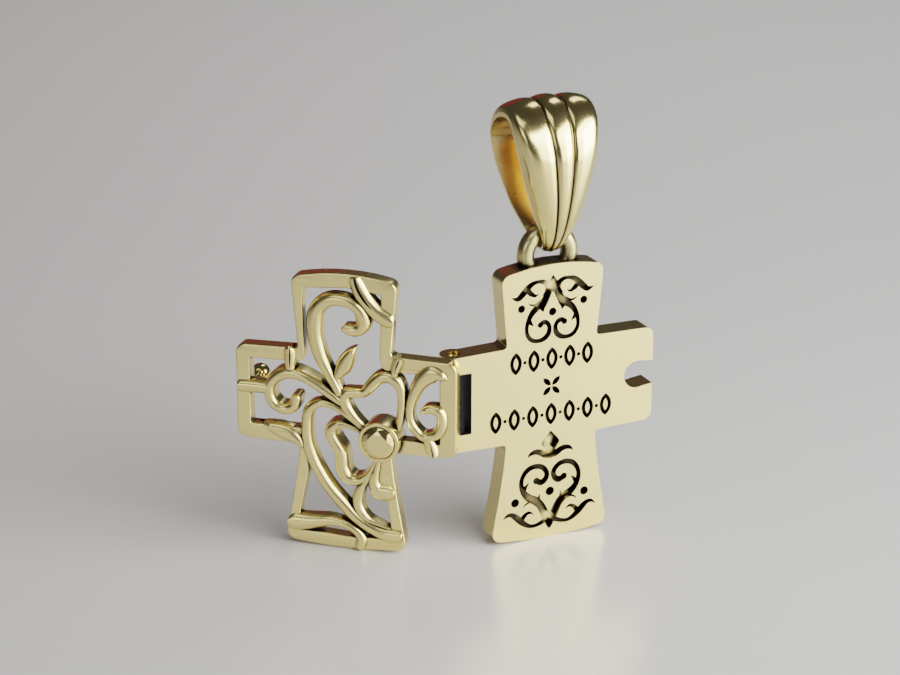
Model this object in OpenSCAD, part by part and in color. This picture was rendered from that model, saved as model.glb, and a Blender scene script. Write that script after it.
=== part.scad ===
// A folding cross locket of two leaves: an engraved plate and a pierced, scrolled cover, hinged on a pin.
// The plate hangs by a soldered ring in a fluted bail. X is along the arms, Y from the engraved face inward,
// Z is up. The origin is where the chain lies, inside the top of the bail.

/* [Cross] */
// Length of each arm from the middle of the cross
arm_reach = 10.05; // [9.5:0.05:10.5]
// Half height of an arm where it meets the shaft
arm_half = 4.54; // [4.3:0.02:4.8]
// Height of the head's top above the middle of the arms
head_top = 11.78; // [11:0.02:12.4]
// Depth of the foot below the middle of the arms
foot_drop = 14.16; // [13.5:0.02:14.8]
// Half width of the shaft at the arms
waist_half = 4.35; // [4.1:0.05:4.6]
// Half width of the head at its widest
head_half = 4.85; // [4.6:0.05:5.2]
// Half width of the foot at its widest
foot_half = 5.75; // [5.4:0.05:6]
// Radius of the outer corners
corner_r = 0.85; // [0.4:0.05:1.2]

/* [Leaves] */
// Thickness of the engraved plate
plate_t = 2.1; // [1.9:0.05:2.4]
// Thickness of the cover's frame
cover_t = 1.4; // [1.2:0.05:1.6]
// Gap between the closed leaves
leaf_gap = 0.1; // [0.05:0.01:0.15]
// Depth of the engraving
engrave_depth = 0.6; // [0.3:0.05:0.8]
// Height of the scrolls above the frame
relief_h = 0.38; // [0.2:0.02:0.5]
// How far the cover stands open
open_angle = 140.8; // [90:0.2:155]

/* [Hinge] */
// Distance of the hinge axis from the middle of the cross
hinge_x = 9; // [8.9:0.05:9.1]
// Depth of the hinge axis behind the engraved face
hinge_y = 1.2; // [1.15:0.01:1.25]
// Radius of the plate's knuckles
knuckle_r = 1.2; // [1.1:0.01:1.22]
// Radius of the cover's knuckle
inner_knuckle_r = 1.05; // [0.95:0.01:1.08]
// Half height of the slot between the plate's knuckles
slot_half = 2.85; // [2.6:0.05:3]
// Radius of the hinge pin
pin_r = 0.45; // [0.4:0.01:0.5]
// Running gap round the pin and between the knuckles
run_gap = 0.05; // [0.04:0.01:0.08]

/* [Clasp] */
// Radius of the clasp ball
ball_r = 0.95; // [0.8:0.05:1]
// Place of the ball and its notch along the arm
ball_x = 9; // [8.9:0.05:9.1]
// Radius of the round notch in the plate's free end
notch_r = 1.28; // [1.25:0.01:1.35]

/* [Setting] */
// Outer radius of the bezel
bezel_r = 1.85; // [1.75:0.05:2]
// Radius of the stone
stone_r = 1.45; // [1.3:0.05:1.5]
// Height of the bezel above the frame
bezel_h = 1.1; // [0.8:0.05:1.3]

/* [Ring and bail] */
// Radius of the ring's middle line
ring_r = 2.05; // [2:0.01:2.1]
// Half thickness of the ring's wire across
wire_r = 0.66; // [0.6:0.01:0.68]
// Height of the ring's middle above the middle of the arms
ring_z = 12.4; // [12.35:0.01:12.45]
// Depth of the bail in front of the ring
bail_front = 3.85; // [3.7:0.05:4]
// Depth of the bail behind the ring
bail_back = 4.45; // [4.2:0.05:4.6]
// Thickness of the bail's front wall at the middle rib
front_wall = 1.45; // [1.3:0.05:1.6]
// Thickness of the bail's back wall
back_wall = 0.75; // [0.6:0.05:1]
// Thickness of the bail over the chain
top_wall = 1.55; // [1.4:0.05:1.7]
// Height of the bail's widest place above the middle of the arms
bail_mid_z = 21; // [20.8:0.1:21.4]
// Rise of the bail above its widest place
bail_rise = 5.55; // [5.4:0.05:5.7]
// Drop of the bail below its widest place
bail_drop = 8.4; // [8.3:0.05:8.45]

/* [Hidden] */
$fn = 48;
gold = "khaki";
pale_gold = "palegoldenrod";

ring_y = plate_t / 2 + 0.2;
swing_z = ring_z + ring_r;
bail_lean = 0.035;
seat_z = bail_mid_z + bail_rise - top_wall;
seat_y = ring_y + bail_lean * (seat_z - swing_z);
cover_in_y = plate_t + leaf_gap;
cover_out_y = cover_in_y + cover_t;
pin_top = 4.1;
pin_bottom = 4.3;
fillet_r = 0.35;
steps = 3;

// Points of a smooth curve through rows of numbers, with n steps between two rows
function clamp_row(rows, i) = rows[max(0, min(len(rows) - 1, i))];
function curve_at(a, b, c, d, t) =
    0.5 * ((2 * b) + (c - a) * t + (2 * a - 5 * b + 4 * c - d) * t * t + (3 * b - a - 3 * c + d) * t * t * t);
function smooth(rows, n) = concat(
    [for (i = [0 : len(rows) - 2], k = [0 : n - 1])
        curve_at(clamp_row(rows, i - 1), rows[i], rows[i + 1], clamp_row(rows, i + 2), k / n)],
    [rows[len(rows) - 1]]);

// Unit vector across a curve at its point i
function along(pts, i) = let (a = clamp_row(pts, i - 1), b = clamp_row(pts, i + 1), d = [b[0] - a[0], b[1] - a[1]])
    d / norm(d);
function across(pts, i) = let (d = along(pts, i)) [-d[1], d[0]];

// A flat stroke of varying width; its rows are [x, z, width]
module flat_stroke(rows) {
    pts = smooth(rows, steps);
    last = len(pts) - 1;
    left = [for (i = [0 : last]) [pts[i][0], pts[i][1]] + across(pts, i) * pts[i][2] / 2];
    right = [for (i = [last : -1 : 0]) [pts[i][0], pts[i][1]] - across(pts, i) * pts[i][2] / 2];
    polygon(concat(left, right));
}

// A raised stroke with a rounded back; its rows are [x, z, width], its floor lies at low below the frame's face
section = [[-0.5, 0], [-0.36, 0.68], [0, 1], [0.36, 0.68], [0.5, 0]];
function stroke_ring(pts, i, low) = let (
        w = max(pts[i][2], 0.04),
        side = across(pts, i),
        top = relief_h * min(1, w / 0.7),
        crown = min(0.42, w * 0.45))
    concat(
        [[pts[i][0] - side[0] * w / 2, pts[i][1] - side[1] * w / 2, -low]],
        [for (s = section) [pts[i][0] + side[0] * w * s[0], pts[i][1] + side[1] * w * s[0], top - crown * (1 - s[1])]],
        [[pts[i][0] + side[0] * w / 2, pts[i][1] + side[1] * w / 2, -low]]);

// A closed tube over rings of points, each ring with the same number of points
module ring_tube(rings) {
    n = len(rings[0]);
    last = len(rings) - 1;
    points = [for (r = rings) each r];
    walls = [for (i = [0 : last - 1], k = [0 : n - 1]) each let (
            a = i * n + k, b = i * n + (k + 1) % n, c = (i + 1) * n + (k + 1) % n, d = (i + 1) * n + k)
        [[a, b, c], [a, c, d]]];
    caps = [[for (k = [n - 1 : -1 : 0]) k], [for (k = [0 : n - 1]) last * n + k]];
    polyhedron(points, concat(walls, caps));
}

module raised_stroke(rows, low) {
    pts = smooth(rows, 2);
    ring_tube([for (i = [0 : len(pts) - 1]) stroke_ring(pts, i, low)]);
}

// A slab from an outline in X and Z, between two depths
module slab(y0, y1) {
    translate([0, y1, 0]) rotate([90, 0, 0]) linear_extrude(y1 - y0) children();
}

// Outline of the cross
function head_w(z) = waist_half + (head_half - waist_half) * (z - arm_half) / (head_top - arm_half - 1.2);
function foot_w(z) = waist_half + (foot_half - waist_half) * pow((-z - arm_half) / (foot_drop - arm_half), 1.35);
function crown_z(x) = head_top - x * x / 38;
function sole_z(x) = -foot_drop + x * x / 80;
head_rows = [for (k = [0 : 3]) arm_half + k * (head_top - arm_half - 1.2) / 3];
foot_rows = [for (k = [0 : 6]) -arm_half - k * (foot_drop - arm_half - 0.6) / 6];
crown_xs = [4.6, 3.6, 2.4, 1.2, 0];
right_side = concat(
    [for (x = [0, 2, 4, 5.5]) [x, sole_z(x)]],
    [for (k = [6 : -1 : 0]) [foot_w(foot_rows[k]), foot_rows[k]]],
    [[arm_reach, -arm_half + 0.12], [arm_reach, arm_half - 0.12]],
    [for (z = head_rows) [head_w(z), z]],
    [for (x = crown_xs) [x, crown_z(x)]]);

module cross_outline() {
    offset(r = -fillet_r) offset(delta = fillet_r) offset(r = corner_r) offset(delta = -corner_r)
        for (side = [0, 1]) mirror([side, 0]) polygon(concat([[-0.1, -foot_drop]], right_side, [[-0.1, head_top]]));
}

module everything_right_of(x) {
    translate([x, -20]) square([40, 40]);
}

// Engraved ornaments, right half; each row is [x, z, width]
head_middle = [[0, 10.8, 0.03], [0, 10.5, 0.4], [0, 10.15, 0.85], [0, 9.75, 0.95], [0, 9.4, 0.5], [0, 9.2, 0.1]];
head_scrolls = [
    [[0.8, 8.9, 0.5], [0.52, 9.45, 0.5], [0.56, 9.95, 0.55], [0.95, 10.27, 0.42], [1.5, 10.33, 0.34],
        [2.1, 10.15, 0.5], [2.6, 9.7, 0.62], [3, 9.3, 0.6], [3.35, 9.03, 0.5], [3.72, 9.08, 0.24], [4, 9.22, 0.03]],
    [[2.5, 9.85, 0.4], [2.25, 9.45, 0.5], [1.95, 9.2, 0.4], [1.65, 9.07, 0.24], [1.35, 9.26, 0.03]],
    [[0.2, 9.6, 0.5], [0.52, 9, 0.65], [0.85, 8.4, 0.75], [1, 7.95, 0.65], [0.9, 7.48, 0.05]],
    [[1.15, 8.4, 0.5], [1.7, 8.22, 0.26], [2.1, 8.28, 0.17], [2.36, 8.48, 0.03]],
    [[0.9, 8.2, 0.5], [1.4, 7.98, 0.62], [1.85, 7.65, 0.58], [2.2, 7.15, 0.5], [2.42, 6.6, 0.42], [2.5, 6, 0.36],
        [2.38, 5.45, 0.4], [2, 5, 0.42], [1.4, 4.84, 0.4], [0.8, 4.97, 0.48], [0.38, 5.4, 0.5], [0.3, 6, 0.42],
        [0.55, 6.42, 0.44], [0.9, 6.5, 0.46], [1.17, 6.34, 0.4]],
    [[2.32, 6.95, 0.42], [2.08, 6.55, 0.3], [1.85, 6.32, 0.08]]];
foot_middle = [[0, -3.88, 0.03], [0, -4.2, 0.6], [0, -4.6, 1.3], [0, -5, 1.75], [0, -5.35, 1.35], [0, -5.8, 0.9]];
foot_drop_mark = [[0, -12.2, 0.8], [0, -12.75, 0.8], [0, -13.1, 0.5], [0, -13.38, 0.03]];
foot_scrolls = [
    [[-0.05, -6.15, 0.75], [0.5, -6.1, 0.65], [1, -5.82, 0.58], [1.5, -5.7, 0.48], [1.95, -5.83, 0.33],
        [2.26, -6.13, 0.03]],
    [[1.35, -8.5, 0.5], [0.9, -8.72, 0.6], [0.5, -8.5, 0.55], [0.32, -8, 0.5], [0.55, -7.5, 0.5],
        [1, -7.17, 0.5], [1.6, -7.1, 0.5], [2.2, -7.3, 0.5], [2.65, -7.8, 0.45], [2.84, -8.4, 0.45],
        [2.78, -9, 0.5], [2.5, -9.6, 0.6], [2, -10.1, 0.75], [1.4, -10.45, 0.8], [0.92, -10.95, 0.78],
        [0.62, -11.5, 0.8], [0.35, -12.1, 0.8], [0.1, -12.5, 0.5]],
    [[2.65, -9.45, 0.5], [2.45, -9, 0.36], [2.1, -8.57, 0.06]],
    [[1.2, -10.6, 0.5], [1.08, -10.2, 0.25], [1.02, -9.8, 0.04]],
    [[1.6, -10.55, 0.4], [2.1, -10.52, 0.22], [2.45, -10.67, 0.15], [2.66, -10.95, 0.03]],
    [[0.3, -12.4, 0.6], [0.9, -12.7, 0.42], [1.6, -12.86, 0.36], [2.2, -12.7, 0.45], [2.8, -12.25, 0.6],
        [3.3, -11.75, 0.6], [3.75, -11.42, 0.44], [4.2, -11.42, 0.3], [4.6, -11.73, 0.03]],
    [[2.85, -12.25, 0.4], [2.6, -11.85, 0.45], [2.3, -11.57, 0.36], [1.95, -11.5, 0.26], [1.58, -11.73, 0.03]]];
// Drilled dots; each row is [x, z, radius]
dots = [[0, 7.38, 0.37], [3.02, 8.05, 0.35], [0, -9.72, 0.42], [3.43, -10.3, 0.4], [1.17, 6.3, 0.27],
    [1.36, -8.5, 0.32]];

// A border of open leaves between the two ornaments; each row is [height of the row, leaves in it, spacing]
leaf_bands = [[3, 5, 1.75], [-2.25, 7, 1.8]];
leaf_h = 2.1;
leaf_w = 1.15;
rosette_z = 0.4;

module leaf(h, w) {
    r = (h * h / 4 + w * w / 4) / w;
    intersection() {
        translate([r - w / 2, 0]) circle(r, $fn = 64);
        translate([w / 2 - r, 0]) circle(r, $fn = 64);
    }
}

module open_leaf() {
    difference() {
        leaf(leaf_h, leaf_w);
        leaf(leaf_h * 0.55, leaf_w * 0.38);
    }
}

module leaf_border() {
    for (band = leaf_bands) {
        for (k = [0 : band[1] - 1]) translate([(k - (band[1] - 1) / 2) * band[2], band[0]]) open_leaf();
        for (k = [0.5 : band[1] - 1.5]) translate([(k - (band[1] - 1) / 2) * band[2], band[0]]) circle(0.17, $fn = 16);
    }
    for (turn = [45 : 90 : 315])
        translate([0, rosette_z]) rotate(turn) translate([0, 0.62]) leaf(1.05, 0.5);
}

module engraving_outline() {
    offset(r = 0.03) offset(delta = -0.03) {
        flat_stroke(head_middle);
        flat_stroke(foot_middle);
        flat_stroke(foot_drop_mark);
        for (side = [0, 1]) mirror([side, 0]) {
            for (rows = head_scrolls) flat_stroke(rows);
            for (rows = foot_scrolls) flat_stroke(rows);
            for (d = dots) translate([d[0], d[1]]) circle(d[2], $fn = 28);
        }
    }
    leaf_border();
}

// Clasp notch: a round seat that opens through the free end between two lips
notch_x = ball_x - 0.5;
notch_mid_z = 0.12;
module notch_outline() {
    translate([notch_x, notch_mid_z]) circle(notch_r);
    polygon([[notch_x + 0.2, notch_mid_z + notch_r - 0.02], [arm_reach + 1, notch_mid_z + 1],
        [arm_reach + 1, notch_mid_z - 0.95], [notch_x + 0.2, notch_mid_z - notch_r + 0.02]]);
}

module plate_outline() {
    difference() {
        intersection() {
            cross_outline();
            everything_right_of(-hinge_x);
        }
        translate([-hinge_x - 1, -slot_half]) square([2.25, 2 * slot_half]);
        notch_outline();
    }
}

module at_hinge() {
    translate([-hinge_x, hinge_y, 0]) children();
}

module bore(r, z0, z1) {
    translate([0, 0, z0]) cylinder(h = z1 - z0, r = r);
}

// The arm's half height at the hinge axis, where the knuckles end
knuckle_end = arm_half - 0.12 * (hinge_x - waist_half) / (arm_reach - waist_half);

// The suspension ring: a wire deeper than it is wide, soldered on the head
wire_flat = 0.12;
module suspension_ring() {
    translate([0, ring_y, ring_z]) rotate([90, 0, 0]) rotate_extrude() translate([ring_r, 0]) {
        translate([0, wire_flat]) circle(wire_r);
        translate([0, -wire_flat]) circle(wire_r);
        translate([-wire_r, -wire_flat]) square([2 * wire_r, 2 * wire_flat]);
    }
}

module back_plate() {
    color(pale_gold) to_seat() difference() {
        union() {
            slab(0, plate_t) plate_outline();
            for (side = [0, 1]) mirror([0, 0, side]) at_hinge() bore(knuckle_r, slot_half, knuckle_end);
            difference() {
                suspension_ring();
                translate([-5, -5, 0]) cube([10, 10, head_top - 1]);
            }
        }
        slab(-1, engrave_depth) engraving_outline();
        at_hinge() bore(pin_r + run_gap, -10, 10);
        at_hinge() bore(pin_r + 0.15, knuckle_end - 0.25, 10);
    }
}

module hinge_pin() {
    color(gold) to_seat() at_hinge() bore(pin_r, -pin_bottom, pin_top);
}

// Pierced frame of the cover, seen from its own outer face with the hinge on the right
window = [[-8.4, -3], [-3.45, -3], [-3.45, -4], [-3.3, -7], [-4.05, -11], [-3.9, -12.75], [0, -13], [3.9, -12.75],
    [4.05, -11], [3.3, -7], [3.2, -3.3], [8.4, -3.3], [8.4, 3.1], [3.1, 3.1], [3.05, 5], [3.2, 10.1], [0, 10.45],
    [-3.4, 10.15], [-3.6, 9], [-3.4, 3.2], [-8.4, 3.2]];

// Raised strokes of the cover; each row is [x, z, width]
scrolls = [
    // head scroll
    [[-0.1, 0.75, 0.5], [-0.9, 2.1, 0.75], [-2, 3.9, 0.95], [-2.75, 5.8, 1.15], [-2.85, 7.2, 1.2], [-2.4, 8.6, 1.1],
        [-1.4, 9.5, 0.95], [-0.2, 9.7, 0.9], [0.85, 9.25, 0.95], [1.55, 8.3, 1.05], [1.6, 7.4, 1.05],
        [1.15, 6.75, 0.95], [0.55, 6.6, 0.75], [0.05, 6.95, 0.5], [-0.1, 7.15, 0.2]],
    // leaf across the head's corner, in two strands
    [[0.6, 11.5, 0.3], [0.75, 11, 0.5], [1.15, 10.2, 0.6], [1.8, 9.3, 0.8], [2.7, 8.4, 1.05], [3.6, 7.75, 1],
        [4.2, 7.5, 0.7], [4.45, 7.4, 0.3]],
    [[1.35, 11.5, 0.3], [1.45, 11, 0.5], [1.7, 10.3, 0.5], [2.2, 9.5, 0.5], [2.9, 8.8, 0.5], [3.6, 8.35, 0.6],
        [4.1, 8.2, 0.4]],
    // small leaf above the left arm
    [[-0.85, 2.1, 0.15], [-0.55, 2.7, 0.6], [-0.1, 3.4, 0.9], [0.45, 4.2, 0.75], [0.85, 4.75, 0.35],
        [1, 5.05, 0.04]],
    // left arm scroll
    [[-0.5, 0.6, 0.6], [-1.5, 1.35, 0.85], [-2.7, 2, 0.9], [-4, 2.35, 0.9], [-5.3, 2.3, 0.9], [-6.4, 1.7, 0.95],
        [-6.95, 0.7, 0.95], [-6.85, -0.3, 0.95], [-6.3, -1.05, 0.9], [-5.5, -1.35, 0.85], [-4.8, -1.1, 0.75],
        [-4.35, -0.4, 0.65], [-4.25, 0.1, 0.5], [-4.2, 0.3, 0.2]],
    // clasp bar
    [[-10, 0.42, 0.5], [-9.7, 0.42, 0.9], [-9.2, 0.42, 1.1], [-8.2, 0.42, 1.05], [-7, 0.45, 0.9]],
    // short struts on the left and right arms
    [[-5.1, 4.5, 0.3], [-5.05, 4, 0.6], [-5, 3.2, 0.6], [-5, 2.5, 0.6]],
    [[5, 4.5, 0.3], [4.85, 4, 0.65], [4.65, 3.4, 0.65], [4.5, 2.9, 0.6]],
    // leaf on the left arm's lower band
    [[-7.4, -2.85, 0.05], [-6.7, -3.1, 0.7], [-5.7, -3.55, 1.15], [-4.8, -4.05, 1], [-4, -4.6, 0.3]],
    // main stem
    [[2.1, -2.7, 0.5], [1.2, -2, 0.5], [0, -1, 0.55], [-1, -0.35, 0.7], [-2.1, -0.1, 0.85], [-3, -0.5, 0.9],
        [-3.55, -1.6, 0.95], [-3.65, -3, 1], [-3.3, -5, 1.05], [-2.4, -7, 1.05], [-1, -9, 1.05],
        [0.7, -10.8, 1.05], [2.5, -12, 1.1], [4.2, -12.5, 0.9], [5.1, -12.55, 0.3]],
    // upper petal
    [[2.2, -2.3, 0.6], [1, -1.05, 0.7], [0.1, 0, 0.85], [-0.2, 0.65, 0.9], [0.4, 1.05, 0.85], [1.7, 1.2, 0.85],
        [2.5, 2.2, 0.85], [3.5, 2.85, 0.85], [4.55, 2.45, 0.85], [5.05, 1.3, 0.85], [5.1, -0.4, 0.85],
        [4.8, -2, 0.8], [4.5, -3, 0.6]],
    // lower petal
    [[1.8, -3.2, 0.6], [0.7, -2.35, 0.75], [-0.4, -2, 0.85], [-1.3, -2.3, 0.9], [-1.55, -3.1, 0.9],
        [-1.05, -4, 0.9], [-0.55, -5, 0.9], [-0.5, -6.4, 0.9], [0, -7.4, 0.9], [0.9, -7.6, 0.85], [1.9, -7, 0.8],
        [2.7, -5.8, 0.6], [2.9, -5.1, 0.5]],
    // crescent and comma leaf beside the shaft
    [[2.75, -5.8, 0.4], [2.3, -6.8, 0.6], [1.6, -7.8, 0.75], [1.15, -8.8, 0.8], [1.15, -9.8, 0.8],
        [1.8, -10.8, 0.75], [3, -11.45, 0.55], [4.1, -11.9, 0.2]],
    [[2.95, -5.6, 0.4], [2.7, -6.6, 0.6], [2.75, -7.6, 0.85], [3.2, -8.35, 1.15], [3.8, -8.5, 1.2],
        [4.25, -8.25, 0.9], [4.5, -8, 0.4]],
    // right arm scroll with its leaf tip
    [[9.1, 2.95, 0.05], [8.4, 3.15, 0.6], [7.6, 3.25, 1.25], [6.9, 2.6, 1.25], [6.3, 1.5, 1], [5.95, 0.3, 0.9],
        [5.95, -1.1, 0.85], [6.4, -2.2, 0.85], [7.3, -2.7, 0.85], [8.2, -2.35, 0.9], [8.7, -1.4, 0.9],
        [8.55, -0.4, 0.9], [7.95, 0.1, 0.85], [7.35, 0.05, 0.7], [7, -0.3, 0.4]],
    // small leaf below the right arm scroll
    [[7.4, -2.9, 0.3], [7.6, -3.4, 0.65], [7.9, -4.1, 0.7], [8.15, -4.5, 0.3]],
    // leaf across the foot
    [[-5.5, -12.05, 0.5], [-5.2, -12.05, 1.2], [-4.5, -11.95, 1.5], [-3, -11.75, 1.35], [-1.2, -11.6, 1],
        [0.3, -11.9, 0.85], [1.2, -12.6, 0.8], [1.4, -13.4, 0.8], [1.25, -14, 0.5]]];

stone_x = 3.2;
stone_z = -3.2;
seat_depth = 0.6;

// Closed position of the cover's own face: x runs against the plate's, depth is measured from its outer face
module on_cover_face() {
    translate([0, cover_out_y, 0]) mirror([1, 0, 0]) rotate([-90, 0, 0]) mirror([0, 1, 0]) children();
}

module cover_frame_outline() {
    difference() {
        intersection() {
            cross_outline();
            union() {
                translate([-cover_trim, 0]) cross_outline();
                translate([foot_half, -arm_half]) square([10, 2 * arm_half]);
            }
            translate([-20, -20]) square([hinge_x + 0.95 + 20, 40]);
        }
        offset(r = -fillet_r) offset(delta = fillet_r) polygon(window);
    }
}

module bezel_cup() {
    translate([stone_x, stone_z, -cover_t]) difference() {
        cylinder(h = cover_t + bezel_h, r = bezel_r);
        translate([0, 0, cover_t + bezel_h - seat_depth]) cylinder(h = 5, r = stone_r + 0.04);
    }
}

module opened() {
    at_hinge() rotate(open_angle) translate([hinge_x, -hinge_y, 0]) children();
}

module to_seat() {
    translate([0, -seat_y, -seat_z]) children();
}

// The cover's knuckle fills the slot but for the running gap; its leaf is hollowed round the plate's knuckles
cover_knuckle_half = slot_half - 0.13;
ball_mid_y = 0;
ball_mid_z = 0.3;
post_r = 0.45;
stroke_floor = 0.7;
// The cover is this much narrower than the plate on its hinge side, above and below the arm
cover_trim = 0.3;
module front_cover() {
    color(gold) to_seat() opened() difference() {
        union() {
            difference() {
                union() {
                    on_cover_face() translate([0, 0, -cover_t]) linear_extrude(cover_t) cover_frame_outline();
                    on_cover_face() resize([0, 0, 0]) for (rows = scrolls) raised_stroke(rows, stroke_floor);
                    on_cover_face() bezel_cup();
                }
                for (side = [0, 1]) mirror([0, 0, side])
                    at_hinge() bore(knuckle_r + 0.1, cover_knuckle_half, 6);
            }
            at_hinge() bore(inner_knuckle_r, -cover_knuckle_half, cover_knuckle_half);
            translate([-hinge_x - 0.95, hinge_y, -cover_knuckle_half])
                cube([1.4, cover_in_y - hinge_y + 0.2, 2 * cover_knuckle_half]);
            translate([ball_x, ball_mid_y, ball_mid_z]) {
                sphere(ball_r);
                rotate([-90, 0, 0]) cylinder(h = cover_in_y - ball_mid_y + 0.3, r = post_r);
            }
        }
        at_hinge() bore(pin_r + run_gap, -10, 10);
    }
}

// Faceted stone: an eight-sided table, a crown of facets, a girdle and a flat back in the cup
facets = 16;
stone_levels = [[-0.45, 0.8], [0, 1], [0.12, 1], [0.5, 0.72]];
module stone() {
    rings = [for (level = stone_levels)
        [for (k = [0 : facets - 1]) [
            level[1] * stone_r * cos((k + 0.5) * 360 / facets),
            -level[1] * stone_r * sin((k + 0.5) * 360 / facets),
            level[0]]]];
    color(gold) to_seat() opened() on_cover_face()
        translate([stone_x, stone_z, bezel_h - seat_depth + 0.5]) ring_tube(rings);
}

// Fluted bail: a loop of sections across X, each with three ribs outside
bail_turns = 44;
bottom_wall = 1.02;
rib_drop = 0.26;
groove_drop = 0.16;
edge_rise = 0.22;
edge_in = 0.8;
saddle = 0.55;
// Half width of the bail over its height; each row is [z, half width]
bail_widths = [[12.6, 0.65], [14, 1.15], [16, 2.05], [20, 3.2], [23, 3.8], [24.3, 3.95], [26.6, 4.02]];
function rib_w(z) = min(0.65 + 0.2225 * (z - 12.8), 0.92 * lookup(z, bail_widths));
function loop_point(a, front, back, up, down) = let (z = bail_mid_z + (sin(a) > 0 ? up : down) * sin(a))
    [ring_y + bail_lean * (z - swing_z) + (cos(a) < 0 ? front : back) * cos(a), z];
function bail_outer(a) = loop_point(a, bail_front, bail_back, bail_rise, bail_drop);
function bail_inner(a) = loop_point(a, bail_front - front_wall, bail_back - back_wall, bail_rise - top_wall,
    bail_drop - bottom_wall);
function rib_rise(v) = let (q = 3 * v - 2 * round(1.5 * v))
    1 - rib_drop * v * v - groove_drop * (1 - sqrt(1 - 0.98 * q * q));
rib_steps = [for (k = [-6 : 6]) k / 6];
// Inner points of a section; each row is [place across, share of the wall, share of the inward turn]
edge_rows = [[1, edge_rise, 0.7], [1, 0.05, 1], [0.9, 0, 1], [0, 0, 0], [-0.9, 0, 1], [-1, 0.05, 1],
    [-1, edge_rise, 0.7]];
function bail_section(a) = let (
        o = bail_outer(a), i = bail_inner(a), mid_z = (o[1] + i[1]) / 2,
        w = lookup(mid_z, bail_widths), rib = rib_w(mid_z), turn = edge_in * pow(max(0, -cos(a)), 2.5),
        low = saddle * pow(max(0, -sin(a)), 3))
    concat(
        [for (v = rib_steps) let (p = i + (o - i) * rib_rise(v)) [v * rib, p[0], p[1]]],
        [for (e = edge_rows) let (p = i + (o - i) * (e[1] + low * abs(e[0]) * (1 - e[1])))
            [e[0] * w, p[0] + e[2] * turn, p[1]]]);

module ring_loop(rings) {
    n = len(rings[0]);
    m = len(rings);
    points = [for (r = rings) each r];
    walls = [for (i = [0 : m - 1], k = [0 : n - 1]) each let (
            j = (i + 1) % m, a = i * n + k, b = i * n + (k + 1) % n, c = j * n + (k + 1) % n, d = j * n + k)
        [[a, b, c], [a, c, d]]];
    polyhedron(points, walls);
}

module bail() {
    color(pale_gold) to_seat() ring_loop([for (k = [0 : bail_turns - 1]) bail_section(k * 360 / bail_turns)]);
}

back_plate();
front_cover();
stone();
hinge_pin();
bail();
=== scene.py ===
# A cross locket standing open: an engraved plate, a pierced scrollwork cover on a pin hinge, and a fluted
# bail. Lengths are millimetres while a piece is made, and metres once it is put in its place.
from math import asin, cos, pi, radians, sin, sqrt
import bpy
from mathutils import Matrix, Vector


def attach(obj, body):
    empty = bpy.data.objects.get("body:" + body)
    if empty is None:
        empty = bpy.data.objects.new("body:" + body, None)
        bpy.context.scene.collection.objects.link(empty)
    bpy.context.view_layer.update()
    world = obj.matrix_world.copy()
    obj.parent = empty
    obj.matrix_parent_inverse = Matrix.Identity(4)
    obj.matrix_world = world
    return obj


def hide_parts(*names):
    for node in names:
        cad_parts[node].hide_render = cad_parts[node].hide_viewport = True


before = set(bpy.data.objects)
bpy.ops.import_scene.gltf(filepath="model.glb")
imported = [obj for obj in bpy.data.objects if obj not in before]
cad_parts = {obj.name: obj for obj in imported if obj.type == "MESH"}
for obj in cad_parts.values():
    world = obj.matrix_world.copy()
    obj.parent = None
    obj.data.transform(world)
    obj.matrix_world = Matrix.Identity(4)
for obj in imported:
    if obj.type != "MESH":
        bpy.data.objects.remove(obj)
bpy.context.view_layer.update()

# Driving sizes, in millimetres, measured from the middle of the plate's engraved face
MM = 0.001
SEAT_Y = 1.61925
SEAT_Z = 25.0
ARM_REACH = 10.05
ARM_HALF = 4.54
HEAD_TOP = 11.78
FOOT_DROP = 14.16
WAIST_HALF = 4.35
HEAD_HALF = 4.85
FOOT_HALF = 5.75
CORNER_R = 0.85
FILLET_R = 0.35
PLATE_T = 2.1
COVER_T = 1.4
COVER_IN_Y = 2.2
COVER_OUT_Y = COVER_IN_Y + COVER_T
COVER_TRIM = 0.3
HINGE_X = 9.0
HINGE_Y = 1.2
COVER_END_X = HINGE_X + 0.95
KNUCKLE_R = 1.2
KNUCKLE_GAP = 0.1
COVER_KNUCKLE_R = 1.05
COVER_KNUCKLE_HALF = 2.72
WEB_W = 1.4
WEB_SINK = 0.2
PIN_HOLE_R = 0.5
PIN_HEAD_R = 0.6
PIN_HEAD_T = 0.25
OPEN_ANGLE = 140.8
RELIEF_H = 0.38
STROKE_FLOOR = 0.8
BEZEL_R = 1.85
BEZEL_H = 1.1
BEZEL_CUP = 0.6
BEZEL_RIM = 0.1
STONE_R = 1.45
STONE_GAP = 0.04
STONE_X = 3.2
STONE_Z = -3.2
BALL_R = 0.95
BALL_X = 9.0
BALL_Y = 0.0
BALL_Z = 0.3
POST_R = 0.45
POST_SINK = 0.3
EDGE_R = 0.07
COVER_EDGE_R = 0.17
# How far cutters reach: past the whole cross, through its thickness, and along the pin past the arm's edges
FAR = 20
THROUGH = 5
PIN_WAY = 10
COVER_PIN_WAY = 8
HOLLOW_WAY = 6
# How far off a face may lie and still be picked, and how near two points are one
NEAR = 0.02
HAIR = 0.01
WELD = 0.0005
# Cosine from which a face counts as facing a way
FACING = 0.9

# The plate's own place, and the cover's face turned out on the hinge
TO_FRAME = Matrix.Scale(MM, 4) @ Matrix.Translation((0, -SEAT_Y, -SEAT_Z))
SWUNG = (
    TO_FRAME
    @ Matrix.Translation((-HINGE_X, HINGE_Y, 0))
    @ Matrix.Rotation(radians(OPEN_ANGLE), 4, "Z")
    @ Matrix.Translation((HINGE_X, -HINGE_Y, 0))
)
FACE_AXES = Matrix(((-1, 0, 0, 0), (0, 0, 1, COVER_OUT_Y), (0, 1, 0, 0), (0, 0, 0, 1)))
COVER_FACE = SWUNG @ FACE_AXES


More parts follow.
